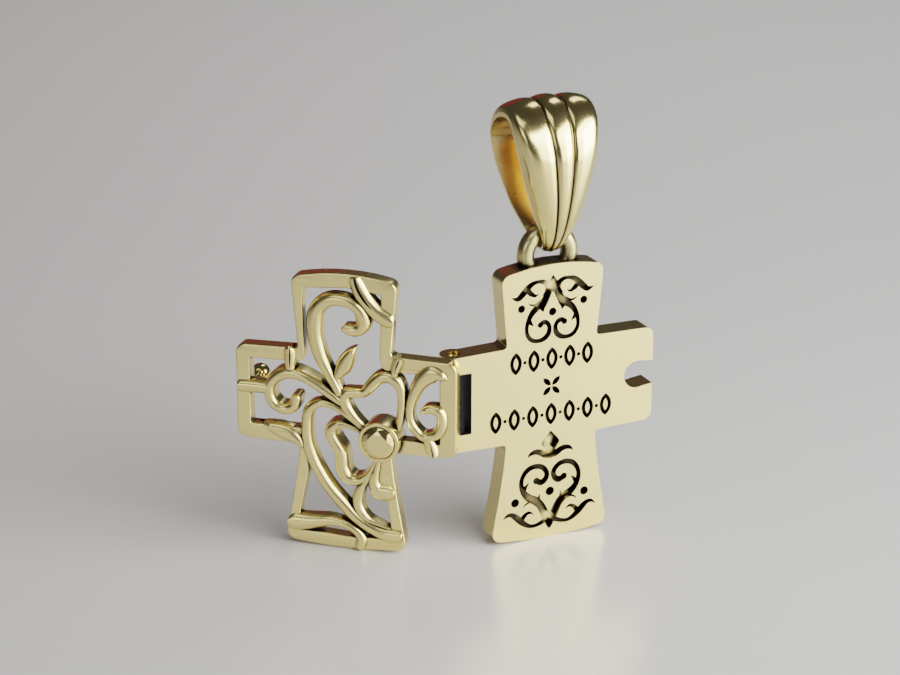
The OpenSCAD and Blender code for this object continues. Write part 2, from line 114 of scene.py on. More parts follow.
# Small helpers for modelling by hand
def deselect():
    if bpy.context.object and bpy.context.object.mode != "OBJECT":
        bpy.ops.object.mode_set(mode="OBJECT")
    bpy.ops.object.select_all(action="DESELECT")


def pick(obj):
    deselect()
    obj.select_set(True)
    bpy.context.view_layer.objects.active = obj


def place(obj, matrix):
    """Moves a finished piece to its place, and leaves its object at the origin."""
    pick(obj)
    obj.matrix_world = matrix @ obj.matrix_world
    bpy.ops.object.transform_apply(location=True, rotation=True, scale=True)
    return obj


def apply_modifiers(obj):
    pick(obj)
    for m in list(obj.modifiers):
        bpy.ops.object.modifier_apply(modifier=m.name)


def smooth(obj, angle=35):
    pick(obj)
    bpy.ops.object.shade_smooth_by_angle(angle=radians(angle))


def combine(obj, other, operation):
    """Fuses or cuts obj with another closed piece, which is used up."""
    m = obj.modifiers.new("cut", "BOOLEAN")
    m.operation, m.object, m.solver = operation, other, "MANIFOLD"
    apply_modifiers(obj)
    bpy.data.objects.remove(other)


def soften_edges(obj, width, segments=2):
    bevel = obj.modifiers.new("soft_edges", "BEVEL")
    bevel.width, bevel.segments = width, segments
    bevel.limit_method, bevel.angle_limit = "ANGLE", radians(50)
    apply_modifiers(obj)


def even_shading(obj):
    """Smooth shading whose flat faces stay flat."""
    smooth(obj)
    m = obj.modifiers.new("flat_faces", "WEIGHTED_NORMAL")
    m.keep_sharp, m.weight = True, 100
    apply_modifiers(obj)


def box(x0, x1, y0, y1, z0, z1):
    deselect()
    bpy.ops.mesh.primitive_cube_add(size=1, location=((x0 + x1) / 2, (y0 + y1) / 2, (z0 + z1) / 2))
    obj = bpy.context.object
    obj.scale = (x1 - x0, y1 - y0, z1 - z0)
    bpy.ops.object.transform_apply(location=True, rotation=True, scale=True)
    return obj


def cylinder(radius, z0, z1, at=(0, 0), sides=64):
    deselect()
    bpy.ops.mesh.primitive_cylinder_add(
        vertices=sides, radius=radius, depth=z1 - z0, location=(at[0], at[1], (z0 + z1) / 2)
    )
    return bpy.context.object


def mesh_object(name, points, faces):
    mesh = bpy.data.meshes.new(name)
    mesh.from_pydata(points, [], faces)
    obj = bpy.data.objects.new(name, mesh)
    bpy.context.scene.collection.objects.link(obj)
    return obj


# Curves through rows of numbers
def curve_rows(rows, steps):
    """A smooth run of rows through the given ones, with steps between two of them."""
    out = []
    last = len(rows) - 1
    for i in range(last):
        a, b, c, d = (Vector(rows[max(0, min(last, k))]) for k in (i - 1, i, i + 1, i + 2))
        for k in range(steps):
            t = k / steps
            start = 2 * b + (c - a) * t
            out.append(0.5 * (start + (2 * a - 5 * b + 4 * c - d) * t**2 + (3 * b - a - 3 * c + d) * t**3))
    return out + [Vector(rows[-1])]


def rounded(corners, steps=8):
    """An outline whose corners (x, y, radius) are rounded."""
    out = []
    for i, (x, y, r) in enumerate(corners):
        p = Vector((x, y))
        if r == 0:
            out.append(p)
            continue
        a = (Vector(corners[i - 1][:2]) - p).normalized()
        b = (Vector(corners[(i + 1) % len(corners)][:2]) - p).normalized()
        half = a.angle(b) / 2
        centre = p + (a + b).normalized() * r / sin(half)
        start = p + a * r * cos(half) / sin(half) - centre
        turn = start.angle_signed(p + b * r * cos(half) / sin(half) - centre)
        out += [centre + Matrix.Rotation(-turn * k / steps, 2) @ start for k in range(steps + 1)]
    return out


def solid_outline(name, outlines, z0, z1, edge):
    """A flat curve with holes, given its thickness and rounded edges, as a mesh."""
    data = bpy.data.curves.new(name, "CURVE")
    data.dimensions, data.fill_mode = "2D", "BOTH"
    data.extrude, data.bevel_depth, data.bevel_resolution = (z1 - z0) / 2 - edge, edge, 2
    data.offset = -edge
    for pts in outlines:
        spline = data.splines.new("POLY")
        spline.points.add(len(pts) - 1)
        for point, p in zip(spline.points, pts):
            point.co = (p[0], p[1], 0, 1)
        spline.use_cyclic_u = True
    obj = bpy.data.objects.new(name, data)
    bpy.context.scene.collection.objects.link(obj)
    obj.location.z = (z0 + z1) / 2
    pick(obj)
    bpy.ops.object.convert(target="MESH")
    bpy.ops.object.transform_apply(location=True, rotation=True, scale=True)
    bpy.ops.object.mode_set(mode="EDIT")
    bpy.ops.mesh.select_all(action="SELECT")
    bpy.ops.mesh.remove_doubles(threshold=WELD)
    bpy.ops.mesh.normals_make_consistent(inside=False)
    bpy.ops.object.mode_set(mode="OBJECT")
    return obj


# The cover's raised strokes; each row is (x, z, width) on its own face, with the hinge on the right
SCROLLS = {
    "head_scroll": [
        (-0.5, 0.5, 0.6), (-0.75, 1.1, 0.8), (-1.3, 2.1, 0.95), (-1.85, 3.1, 1.1), (-2.3, 4.1, 1.22),
        (-2.7, 5.6, 1.3), (-2.76, 7, 1.42), (-2.5, 8.2, 1.35), (-1.9, 8.9, 1.28), (-1, 9.27, 1.18),
        (0.1, 9.25, 1.1), (1, 8.85, 1.08), (1.55, 8.15, 1.25), (1.66, 7.3, 1.32), (1.3, 6.75, 1.15),
        (0.7, 6.6, 1.05), (0.1, 6.75, 0.85), (-0.14, 6.92, 0.55),
    ],
    "head_leaf": [
        (0.98, 11.5, 0.9), (1.1, 11, 1.25), (1.5, 10.1, 1.4), (2.1, 9.25, 1.4), (2.85, 8.5, 1.45),
        (3.5, 8.05, 1.5), (4, 7.8, 1.4), (4.25, 7.7, 1.05), (4.38, 7.65, 0.55),
    ],
    "bud": [
        (-0.3, 1.1, 0.3), (-0.55, 1.6, 0.4), (-0.68, 2.1, 0.55), (-0.52, 2.5, 0.95), (-0.23, 3, 1.35),
        (0.08, 3.6, 1.35), (0.42, 4.25, 1.05), (0.78, 4.8, 0.5), (1, 5.1, 0.04),
    ],
    "left_scroll": [
        (-0.3, -0.25, 0.6), (-1, 0.25, 0.85), (-2, 0.88, 0.95), (-3, 1.48, 0.88), (-4, 1.93, 0.92),
        (-5, 2.07, 0.98), (-6.05, 1.75, 1), (-6.75, 1.05, 0.92), (-6.95, 0.2, 0.92), (-6.75, -0.65, 0.9),
        (-6.2, -1.2, 0.88), (-5.45, -1.38, 0.9), (-4.75, -1.05, 0.92), (-4.5, -0.4, 0.88),
        (-4.47, -0.1, 0.8), (-4.46, 0.08, 0.6), (-4.46, 0.17, 0.3),
    ],
    "clasp_bar": [
        (-9.9, 0.47, 0.25), (-9.82, 0.47, 0.7), (-9.6, 0.47, 1.05), (-9.2, 0.47, 1.15),
        (-8.2, 0.47, 1.15), (-7, 0.47, 1.05),
    ],
    "left_strut": [
        (-5.05, 4.65, 0.4), (-5, 4.3, 0.85), (-4.97, 3.8, 1.12), (-4.97, 3.2, 1), (-5, 2.5, 0.75),
    ],
    "right_strut": [
        (4.95, 4.5, 0.7), (4.83, 4.2, 0.9), (4.65, 3.6, 0.85), (4.5, 3.1, 0.65), (4.45, 2.8, 0.5),
    ],
    "left_leaf": [
        (-7.5, -2.8, 0.05), (-6.75, -3.15, 0.85), (-5.9, -3.47, 1.35), (-5.1, -3.75, 1.4),
        (-4.5, -4.08, 1.15), (-4.05, -4.5, 0.65), (-3.85, -4.7, 0.4),
    ],
    "stem": [
        (2.1, -2.85, 0.4), (1, -1.95, 0.5), (0, -1.2, 0.55), (-1, -0.62, 0.58), (-2, -0.42, 0.68),
        (-2.9, -0.75, 0.83), (-3.42, -1.5, 0.9), (-3.55, -2.8, 0.94), (-3.5, -4.1, 0.98),
        (-3.1, -5.6, 1.05), (-2.45, -7, 1.1), (-1.52, -8.5, 1.15), (-0.17, -10, 1.18),
        (1.05, -11.2, 1.12), (2.3, -11.95, 1.08), (3.5, -12.4, 1.22), (4.4, -12.45, 1.25),
        (4.9, -12.4, 1), (5.15, -12.4, 0.6),
    ],
    "upper_petal": [
        (2.2, -2.6, 0.5), (1.4, -2, 0.62), (0.7, -1.35, 0.8), (0.15, -0.65, 1), (-0.12, 0.05, 1.2),
        (0.1, 0.68, 1), (0.9, 0.82, 0.86), (1.75, 0.98, 0.85), (2.4, 1.72, 1), (3.1, 2.4, 1.08),
        (3.9, 2.57, 1.08), (4.6, 2.3, 1.08), (5.02, 1.7, 0.88), (5.14, 0.8, 0.76), (5.13, 0, 0.74),
        (5.02, -1, 0.7), (4.88, -1.7, 0.6), (4.65, -2.5, 0.45),
    ],
    "lower_petal": [
        (1.9, -2.95, 0.4), (1, -2.6, 0.45), (0, -2.3, 0.5), (-0.75, -2.35, 0.75), (-1.25, -2.75, 1.05),
        (-1.33, -3.35, 1.08), (-0.95, -4.1, 1.05), (-0.5, -4.85, 1.12), (-0.4, -5.6, 1.2),
        (-0.35, -6.4, 1.2), (0, -7.15, 1.15), (0.6, -7.5, 1), (1.25, -7.42, 0.8), (1.9, -6.95, 0.6),
        (2.4, -6.2, 0.45), (2.75, -5.3, 0.4),
    ],
    "crescent": [
        (2.95, -5.4, 0.3), (2.55, -6.3, 0.4), (2, -7.2, 0.5), (1.4, -8.1, 0.75), (1.1, -9, 0.95),
        (1.08, -9.75, 0.92), (1.4, -10.5, 0.85), (2.1, -11.1, 0.6), (3.1, -11.5, 0.4),
        (4.1, -11.85, 0.2),
    ],
    "comma_leaf": [
        (3, -5.4, 0.45), (2.78, -6.3, 0.6), (2.58, -7, 0.85), (2.56, -7.6, 1.05), (2.72, -8, 1.2),
        (2.9, -8.3, 1.2),
    ],
    "comma_head": [
        (2.3, -8.2, 0.6), (2.5, -8.28, 1.15), (2.9, -8.35, 1.5), (3.4, -8.38, 1.6), (3.9, -8.35, 1.5),
        (4.3, -8.3, 1.1), (4.5, -8.28, 0.5),
    ],
    "right_scroll": [
        (9.25, 2.9, 0.04), (8.9, 3.12, 0.6), (8.35, 3.3, 1.25), (7.75, 3.25, 1.65), (7.1, 2.8, 1.5),
        (6.55, 2, 1.15), (6.1, 1, 0.92), (5.87, 0, 0.8), (5.87, -1, 0.74), (6.24, -1.9, 0.78),
        (7, -2.6, 0.84), (7.7, -2.6, 0.88), (8.4, -2.15, 0.9), (8.76, -1.2, 0.92), (8.55, -0.25, 0.95),
        (7.9, 0, 0.82), (7.3, -0.12, 0.7), (6.97, -0.4, 0.35), (6.9, -0.52, 0.1),
    ],
    "right_leaf": [
        (7.45, -2.8, 0.85), (7.65, -3.3, 1.05), (7.85, -3.9, 1.12), (7.97, -4.25, 1), (8.02, -4.42, 0.8),
    ],
    "foot_leaf": [
        (-5.42, -11.98, 0.6), (-5.15, -12.05, 1.35), (-4.7, -12.1, 1.65), (-3.8, -12.05, 1.5),
        (-2.7, -11.85, 1.22), (-1.5, -11.65, 0.98), (-0.4, -11.73, 0.8), (0.5, -12.05, 0.75),
        (1.15, -12.55, 0.82), (1.43, -13.1, 0.9), (1.3, -13.65, 0.9), (1.15, -13.95, 0.8),
    ],
}
# Fine lines between the lobes of three small leaves
CREASES = [
    [(-4.98, 4.55, 0.05), (-4.96, 4, 0.13), (-4.96, 3.4, 0.13), (-4.98, 2.8, 0.04)],
    [(4.92, 4.45, 0.1), (4.75, 4, 0.15), (4.62, 3.6, 0.1), (4.52, 3.15, 0.04)],
    [(7.72, -3.1, 0.04), (7.82, -3.6, 0.1), (7.92, -4.1, 0.12), (7.97, -4.5, 0.12)],
    [(0.95, 11.7, 0.2), (1.1, 11, 0.26), (1.45, 10.2, 0.26), (1.95, 9.45, 0.2), (2.5, 8.85, 0.04)],
]
CREASE_DEPTH = 0.24
STROKE_STEPS = 6
NARROWEST = 0.04
ARCH_POINTS = 14
# A stroke stands at its full height from this width on, and is round over a share of its width
FULL_WIDTH = 0.7
CROWN_SHARE = 0.62
CROWN_MOST = 0.7
# What a round stroke needs over its flat outline, and how far its middle moves for it
BULGE = 0.13
BULGE_MOVE = (-0.07, 0.03)
# Strokes whose walls reach almost to the back of the cover
DEEP_STROKES = ("left_scroll", "lower_petal")
DEEP_FLOOR = 1.36


def stroke(name, rows):
    """A closed stroke of varying width with a softly rounded back, and its floor inside the cover."""
    run = curve_rows(rows, STROKE_STEPS)
    low = -(DEEP_FLOOR if name in DEEP_STROKES else STROKE_FLOOR)
    points, ring = [], ARCH_POINTS + 3
    for i, (x, z, w) in enumerate(run):
        w = max(w, NARROWEST)
        ahead = run[min(i + 1, len(run) - 1)] - run[max(i - 1, 0)]
        side = Vector((-ahead[1], ahead[0])).normalized() * (w + BULGE * min(1, w)) / 2
        x, z = x + BULGE_MOVE[0], z + BULGE_MOVE[1]
        top = RELIEF_H * min(1, w / FULL_WIDTH)
        crown = min(CROWN_MOST, CROWN_SHARE * w)
        points.append((x - side.x, z - side.y, low))
        for k in range(ARCH_POINTS + 1):
            a = pi * k / ARCH_POINTS
            points.append((x - side.x * cos(a), z - side.y * cos(a), top - crown * (1 - sin(a))))
        points.append((x + side.x, z + side.y, low))
    last = len(run) - 1
    faces = [
        (i * ring + k, i * ring + (k + 1) % ring, (i + 1) * ring + (k + 1) % ring, (i + 1) * ring + k)
        for i in range(last)
        for k in range(ring)
    ]
    faces += [tuple(range(ring - 1, -1, -1)), tuple(last * ring + k for k in range(ring))]
    return mesh_object(name, points, faces)


# The cross's outline: where its sides bend, how its arms taper, and the bows of its sole and crown
SIDE_BENDS = [(0.62, -9.4), (0.2, -6.6)]
ARM_TAPER = 0.12
HEAD_FLARE = 0.1
SOLE_RISE = 0.4
SOLE_BOW = 80
CROWN_DROP = 0.6
CROWN_BOW = 38


def cross_corners(trim=0.0):
    """Corners of the cross (x, z, radius), with its right side above and below the arm moved in by trim."""
    def side(sign, cut):
        head_low = WAIST_HALF - cut
        return [
            (sign * (FOOT_HALF - cut), -FOOT_DROP + SOLE_RISE, CORNER_R),
            *[(sign * (WAIST_HALF + out - cut), z, 0) for out, z in SIDE_BENDS],
            (sign * head_low, -ARM_HALF, FILLET_R),
            (sign * ARM_REACH, -ARM_HALF + ARM_TAPER, CORNER_R),
            (sign * ARM_REACH, ARM_HALF - ARM_TAPER, CORNER_R),
            (sign * head_low, ARM_HALF, FILLET_R),
            (sign * (HEAD_HALF + HEAD_FLARE - cut), HEAD_TOP - CROWN_DROP, CORNER_R),
        ]

    sole = [(x, -FOOT_DROP + x * x / SOLE_BOW, 0) for x in (-4, -2, 0, 2, 4)]
    crown = [(x, HEAD_TOP - x * x / CROWN_BOW, 0) for x in (3.4, 2.2, 1.1, 0, -1.1, -2.2, -3.4)]
    return sole + side(1, trim) + crown + side(-1, 0)[::-1]


# The pierced opening: (x, z, radius of the corner)
WINDOW = [
    (-8.77, -3, 0.08), (-3.6, -3, 0.3), (-3.6, -4, 0), (-3.45, -6.8, 0), (-4.35, -10.9, 0),
    (-4.3, -12.75, 0.15), (0, -13, 0), (3.9, -12.75, 0.15), (3.95, -11.2, 0), (3.6, -8.9, 0),
    (2.9, -8.3, 0), (2.75, -6.5, 0), (2.75, -3.2, 0.3), (8.4, -3.2, 0.08), (8.4, 3.1, 0.08),
    (3.1, 3.1, 0.8), (3.05, 5, 0), (3.2, 10.1, 0.15), (0, 10.45, 0), (-3.7, 10.15, 0.15),
    (-3.85, 9, 0), (-3.7, 3.2, 0.9), (-8.77, 3.2, 0.08),
]


def cover_frame():
    corners = [(min(x, COVER_END_X), z, r) for x, z, r in cross_corners(COVER_TRIM)]
    return solid_outline("cover_frame", [rounded(corners), rounded(WINDOW)], -COVER_T, 0, COVER_EDGE_R)


def bezel():
    """A cup with a rounded rim that stands through the frame."""
    cup = cylinder(BEZEL_R, -COVER_T, BEZEL_H, (STONE_X, STONE_Z), 96)
    bpy.ops.object.mode_set(mode="EDIT")
    bpy.ops.mesh.select_all(action="DESELECT")
    bpy.ops.object.mode_set(mode="OBJECT")
    bpy.ops.object.transform_apply(location=True, rotation=True, scale=True)
    for f in cup.data.polygons:
        f.select = f.normal.z > FACING
    bpy.ops.object.mode_set(mode="EDIT")
    bpy.ops.mesh.inset(thickness=BEZEL_R - STONE_R - STONE_GAP)
    bpy.ops.mesh.extrude_region_move(TRANSFORM_OT_translate={"value": (0, 0, -BEZEL_CUP)})
    bpy.ops.object.mode_set(mode="OBJECT")
    soften_edges(cup, BEZEL_RIM, 3)
    return cup


def front_cover():
    cover = cover_frame()
    for name, rows in SCROLLS.items():
        combine(cover, stroke(name, rows), "UNION")
    for rows in CREASES:
        combine(cover, cut_line(rows, RELIEF_H - CREASE_DEPTH), "DIFFERENCE")
    combine(cover, bezel(), "UNION")
    place(cover, FACE_AXES)
    # The leaf is hollowed round the plate's knuckles
    hinge = (-HINGE_X, HINGE_Y)
    for end in (-1, 1):
        z0, z1 = sorted((end * COVER_KNUCKLE_HALF, end * HOLLOW_WAY))
        combine(cover, cylinder(KNUCKLE_R + KNUCKLE_GAP, z0, z1, hinge), "DIFFERENCE")
    combine(cover, cylinder(COVER_KNUCKLE_R, -COVER_KNUCKLE_HALF, COVER_KNUCKLE_HALF, hinge), "UNION")
    web_end = WEB_W - COVER_END_X
    web_top = COVER_IN_Y + WEB_SINK
    web = box(-COVER_END_X, web_end, HINGE_Y, web_top, -COVER_KNUCKLE_HALF, COVER_KNUCKLE_HALF)
    combine(cover, web, "UNION")
    combine(cover, cylinder(PIN_HOLE_R, -COVER_PIN_WAY, COVER_PIN_WAY, hinge), "DIFFERENCE")
    deselect()
    bpy.ops.mesh.primitive_uv_sphere_add(
        segments=48, ring_count=32, radius=BALL_R, location=(BALL_X, BALL_Y, BALL_Z)
    )
    ball = bpy.context.object
    bpy.ops.object.transform_apply(location=True, rotation=True, scale=True)
    post_end = COVER_IN_Y + POST_SINK
    deselect()
    bpy.ops.mesh.primitive_cylinder_add(
        vertices=40, radius=POST_R, depth=post_end - BALL_Y, rotation=(pi / 2, 0, 0),
        location=(BALL_X, (BALL_Y + post_end) / 2, BALL_Z),
    )
    post = bpy.context.object
    bpy.ops.object.transform_apply(location=True, rotation=True, scale=True)
    combine(ball, post, "UNION")
    combine(cover, ball, "UNION")
    dress(cover, COVER_GOLD, BALL_GOLD, SLOT_SHADE_BLACK)
    at_ball = Vector((BALL_X, BALL_Y, BALL_Z))
    # The ball takes the polished gold; the knuckle and web inside the slot are painted black for the shade
    # there
    for f in cover.data.polygons:
        if (f.center - at_ball).length < BALL_R + NEAR:
            f.material_index = 1
        elif f.center.x < SLOT_END and f.center.y < COVER_IN_Y - HAIR:
            f.material_index = 2
    place(cover, SWUNG)
    cover.name = cover.data.name = "cover_with_scrolls"
    even_shading(cover)
    return cover


# The cut stone: shares of its radius, and heights over the cover's face
TABLE_SHARE = 0.66
STAR_SHARE = 0.86
FOOT_SHARE = 0.8
TABLE_H = 1.43
GIRDLE_TOP = 1.12
GIRDLE_LOW = 1.02
STONE_FOOT = 0.56


def cut_stone():
    """A round stone with an eight-sided table, star facets, kites and pairs of facets at its girdle."""
    fall = (STAR_SHARE * cos(pi / 8) - TABLE_SHARE) / (1 - TABLE_SHARE)
    star_h = TABLE_H - (TABLE_H - GIRDLE_TOP) * fall
    rings = [
        (8, 0.5, TABLE_SHARE, TABLE_H), (8, 0, STAR_SHARE, star_h), (16, 0, 1, GIRDLE_TOP),
        (16, 0, 1, GIRDLE_LOW), (16, 0, FOOT_SHARE, STONE_FOOT),
    ]
    points = []
    for sides, turned, share, h in rings:
        for k in range(sides):
            a = 2 * pi * (k + turned) / sides
            points.append((STONE_X + share * STONE_R * cos(a), STONE_Z + share * STONE_R * sin(a), h))
    star, girdle, under, foot = 8, 16, 32, 48
    faces = [tuple(range(8)), tuple(range(foot + 15, foot - 1, -1))]
    for k in range(8):
        g = girdle + 2 * k
        before = girdle + (2 * k - 1) % 16
        faces.append(((k - 1) % 8, star + k, k))
        faces.append((k, star + k, g + 1, star + (k + 1) % 8))
        faces += [(star + k, before, g), (star + k, g, g + 1)]
    for k in range(16):
        after = (k + 1) % 16
        faces.append((under + k, under + after, girdle + after, girdle + k))
        faces.append((foot + k, foot + after, under + after, under + k))
    stone = mesh_object("cut_stone", points, faces)
    place(stone, COVER_FACE)
    return stone


# Engraved ornaments of the plate, right half: (x, z, width)
ENGRAVED_MIDDLE = [
    [(0, 10.8, 0.03), (0, 10.5, 0.4), (0, 10.15, 0.85), (0, 9.75, 0.95), (0, 9.4, 0.5), (0, 9.2, 0.1)],
    [(0, -3.88, 0.03), (0, -4.2, 0.6), (0, -4.6, 1.3), (0, -5, 1.75), (0, -5.35, 1.35), (0, -5.8, 0.9)],
    [(0, -12.2, 0.8), (0, -12.75, 0.8), (0, -13.1, 0.5), (0, -13.38, 0.03)],
]
ENGRAVED_SIDE = [
    [
        (0.8, 8.9, 0.5), (0.52, 9.45, 0.5), (0.56, 9.95, 0.55), (0.95, 10.27, 0.42), (1.5, 10.33, 0.34),
        (2.1, 10.15, 0.5), (2.6, 9.7, 0.62), (3, 9.3, 0.6), (3.35, 9.03, 0.5), (3.72, 9.08, 0.24),
        (4, 9.22, 0.03),
    ],
    [
        (2.5, 9.85, 0.4), (2.25, 9.45, 0.5), (1.95, 9.2, 0.4), (1.65, 9.07, 0.24), (1.35, 9.26, 0.03),
    ],
    [
        (0.2, 9.6, 0.5), (0.52, 9, 0.65), (0.85, 8.4, 0.75), (1, 7.95, 0.65), (0.9, 7.48, 0.05),
    ],
    [
        (1.15, 8.4, 0.5), (1.7, 8.22, 0.26), (2.1, 8.28, 0.17), (2.36, 8.48, 0.03),
    ],
    [
        (0.9, 8.2, 0.5), (1.4, 7.98, 0.62), (1.85, 7.65, 0.58), (2.2, 7.15, 0.5), (2.42, 6.6, 0.42),
        (2.5, 6, 0.36), (2.38, 5.45, 0.4), (2, 5, 0.42), (1.4, 4.84, 0.4), (0.8, 4.97, 0.48),
        (0.38, 5.4, 0.5), (0.3, 6, 0.42), (0.55, 6.42, 0.44), (0.9, 6.5, 0.46), (1.17, 6.34, 0.4),
    ],
    [
        (2.32, 6.95, 0.42), (2.08, 6.55, 0.3), (1.85, 6.32, 0.08),
    ],
    [
        (-0.05, -6.15, 0.75), (0.5, -6.1, 0.65), (1, -5.82, 0.58), (1.5, -5.7, 0.48),
        (1.95, -5.83, 0.33), (2.26, -6.13, 0.03),
    ],
    [
        (1.35, -8.5, 0.5), (0.9, -8.72, 0.6), (0.5, -8.5, 0.55), (0.32, -8, 0.5), (0.55, -7.5, 0.5),
        (1, -7.17, 0.5), (1.6, -7.1, 0.5), (2.2, -7.3, 0.5), (2.65, -7.8, 0.45), (2.84, -8.4, 0.45),
        (2.78, -9, 0.5), (2.5, -9.6, 0.6), (2, -10.1, 0.75), (1.4, -10.45, 0.8), (0.92, -10.95, 0.78),
        (0.62, -11.5, 0.8), (0.35, -12.1, 0.8), (0.1, -12.5, 0.5),
    ],
    [
        (2.65, -9.45, 0.5), (2.45, -9, 0.36), (2.1, -8.57, 0.06),
    ],
    [
        (1.2, -10.6, 0.5), (1.08, -10.2, 0.25), (1.02, -9.8, 0.04),
    ],
    [
        (1.6, -10.55, 0.4), (2.1, -10.52, 0.22), (2.45, -10.67, 0.15), (2.66, -10.95, 0.03),
    ],
    [
        (0.3, -12.4, 0.6), (0.9, -12.7, 0.42), (1.6, -12.86, 0.36), (2.2, -12.7, 0.45),
        (2.8, -12.25, 0.6), (3.3, -11.75, 0.6), (3.75, -11.42, 0.44), (4.2, -11.42, 0.3),
        (4.6, -11.73, 0.03),
    ],
    [
        (2.85, -12.25, 0.4), (2.6, -11.85, 0.45), (2.3, -11.57, 0.36), (1.95, -11.5, 0.26),
        (1.58, -11.73, 0.03),
    ],
]
# Drilled dots, right half: (x, z, radius)
DOTS = [
    (0, 7.38, 0.37), (3.02, 8.05, 0.35), (0, -9.72, 0.42), (3.43, -10.3, 0.4), (1.17, 6.3, 0.27),
    (1.36, -8.5, 0.32),
]
# Border of open leaves: (height of the row, leaves in it, spacing)
LEAF_BANDS = [(3, 5, 1.75), (-2.25, 7, 1.8)]
LEAF = (2.1, 1.15)
LEAF_CORE = (LEAF[0] * 0.55, LEAF[1] * 0.38)
LEAF_STEPS = 12
LEAF_TIP = 0.004
ROSETTE_Z = 0.4
ROSETTE_LEAF = (1.05, 0.5)
ROSETTE_REACH = 0.62
STUD_R = 0.17
ENGRAVE_DEPTH = 0.6
# How high the cutters stand over the face, and how far a leaf's core reaches both ways
CUT_TOP = 1
CORE_WAY = 2
CUT_STEPS = 5
THINNEST_CUT = 0.03
SLOT_HALF = 2.85
SLOT_END = -HINGE_X + 1.25
SLOT_RIM = 0.03
NOTCH_X = BALL_X - 0.5
NOTCH_Z = 0.12
NOTCH_R = 1.28
# The notch's lips over and under its middle, at the arm's end
LIP_TOP = 1
LIP_LOW = 0.95
KNUCKLE_END = ARM_HALF - ARM_TAPER * (HINGE_X - WAIST_HALF) / (ARM_REACH - WAIST_HALF)

# Face coordinates of the plate: x along the arms, y up, z out of the engraved face
PLATE_AXES = Matrix(((1, 0, 0, 0), (0, 0, -1, 0), (0, 1, 0, 0), (0, 0, 0, 1)))
PIN_AXES = Matrix(((1, 0, 0, -HINGE_X), (0, 0, 1, 0), (0, -1, 0, -HINGE_Y), (0, 0, 0, 1)))


def prism(name, left, right, z0, z1):
    """A closed strip between two edge lines, from one depth to another."""
    n = len(left)
    points = [(x, y, z) for z in (z0, z1) for pair in zip(left, right) for x, y in [pair[0], pair[1]]]
    faces = []
    for i in range(n - 1):
        a, b, c, d = 2 * i, 2 * i + 1, 2 * i + 3, 2 * i + 2
        faces += [(a, b, c, d), (a + 2 * n, d + 2 * n, c + 2 * n, b + 2 * n)]
        faces += [(a, d, d + 2 * n, a + 2 * n), (b, b + 2 * n, c + 2 * n, c)]
    e = 2 * n - 2
    faces += [(0, 2 * n, 2 * n + 1, 1), (e, e + 1, e + 1 + 2 * n, e + 2 * n)]
    obj = mesh_object(name, points, faces)
    pick(obj)
    bpy.ops.object.mode_set(mode="EDIT")
    bpy.ops.mesh.select_all(action="SELECT")
    bpy.ops.mesh.normals_make_consistent(inside=False)
    bpy.ops.object.mode_set(mode="OBJECT")
    return obj


def cut_line(rows, low=-ENGRAVE_DEPTH, mirror=1):
    """A cutter for a line of varying width, down to the height low."""
    run = curve_rows(rows, CUT_STEPS)
    left, right = [], []
    for i, (x, z, w) in enumerate(run):
        ahead = run[min(i + 1, len(run) - 1)] - run[max(i - 1, 0)]
        side = Vector((-ahead[1], ahead[0])).normalized() * max(w, THINNEST_CUT) / 2
        left.append((mirror * (x + side.x), z + side.y))
        right.append((mirror * (x - side.x), z - side.y))
    return prism("stroke", left, right, low, CUT_TOP)


def leaf(size, at, turn=0.0, z0=-ENGRAVE_DEPTH, z1=CUT_TOP):
    """A pointed leaf between two arcs."""
    height, width = size
    r = (height * height + width * width) / (4 * width)
    half = asin(height / 2 / r)
    spin = Matrix.Rotation(turn, 2)
    left, right = [], []
    for k in range(LEAF_STEPS + 1):
        a = -half + 2 * half * k / LEAF_STEPS
        for sign, line in ((-1, left), (1, right)):
            x = sign * max(r * cos(a) - (r - width / 2), LEAF_TIP)
            line.append(tuple(Vector(at) + spin @ Vector((x, r * sin(a)))))
    return prism("leaf", left, right, z0, z1)


def engrave(plate):
    for rows in ENGRAVED_MIDDLE:
        combine(plate, cut_line(rows), "DIFFERENCE")
    for side in (1, -1):
        for rows in ENGRAVED_SIDE:
            combine(plate, cut_line(rows, mirror=side), "DIFFERENCE")
        for x, z, r in DOTS:
            if x or side > 0:
                combine(plate, cylinder(r, -ENGRAVE_DEPTH, CUT_TOP, (side * x, z), 32), "DIFFERENCE")
    for z, count, gap in LEAF_BANDS:
        for k in range(count):
            at = ((k - (count - 1) / 2) * gap, z)
            ring = leaf(LEAF, at)
            combine(ring, leaf(LEAF_CORE, at, 0, -CORE_WAY, CORE_WAY), "DIFFERENCE")
            combine(plate, ring, "DIFFERENCE")
            if k < count - 1:
                stud = cylinder(STUD_R, -ENGRAVE_DEPTH, CUT_TOP, (at[0] + gap / 2, z), 20)
                combine(plate, stud, "DIFFERENCE")
    for k in range(4):
        turn = radians(45 + 90 * k)
        at = Matrix.Rotation(turn, 2) @ Vector((0, ROSETTE_REACH)) + Vector((0, ROSETTE_Z))
        combine(plate, leaf(ROSETTE_LEAF, at, turn), "DIFFERENCE")


def suspension_ring():
    """A wire deeper than it is wide, bent to a ring and sunk in the head's top."""
    deselect()
    bpy.ops.mesh.primitive_torus_add(
        major_radius=RING_R, minor_radius=WIRE_R, major_segments=72, minor_segments=28, location=(0, 0, 0)
    )
    ring = bpy.context.object
    for v in ring.data.vertices:
        if abs(v.co.z) > HAIR:
            v.co.z += WIRE_FLAT if v.co.z > 0 else -WIRE_FLAT
    ring.location = (0, RING_Z, -RING_Y)
    bpy.ops.object.transform_apply(location=True, rotation=True, scale=True)
    combine(ring, box(-THROUGH, THROUGH, 0, HEAD_TOP - RING_SINK, -THROUGH, THROUGH), "DIFFERENCE")
    return ring


